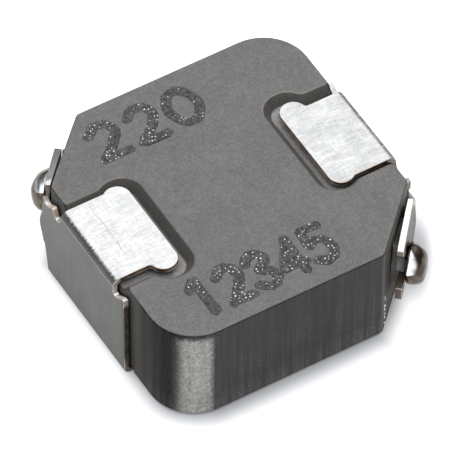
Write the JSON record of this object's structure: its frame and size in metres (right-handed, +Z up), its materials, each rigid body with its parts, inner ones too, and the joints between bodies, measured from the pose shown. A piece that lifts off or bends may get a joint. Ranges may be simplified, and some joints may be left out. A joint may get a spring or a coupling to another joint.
{
  "type": "shielded surface-mount power inductor",
  "caption": "Square power inductor for surface mounting: a moulded grey magnetic-powder block with clipped-on tinned side terminals and silvery weld beads at its cut corners.",
  "frame": {"origin": "the middle of the solder faces, on the plane that the part stands on", "axes": "+Z up, away from the board; +X from the left terminal to the right one; the wire leaves through the cut corners at -X+Y and +X-Y"},
  "size_m": [0.0072, 0.0068, 0.0027],
  "materials": {
    "pressed_powder": "matte, fine-grained pressed iron powder, with die-drag lines on the sides",
    "enamelled_copper": "clear-enamelled round copper wire",
    "tinned_sheet": "satin tin plate over a copper alloy, with bare copper-brown cut edges",
    "weld_metal": "smooth re-melted metal, silvery with a brown heat tint"
  },
  "bodies": {
    "root": {"core_body": "pressed_powder", "coil_winding": "enamelled_copper", "terminal_left": "tinned_sheet", "terminal_right": "tinned_sheet", "weld_bead_left": "weld_metal", "weld_bead_right": "weld_metal"}
  },
  "joints": []
}
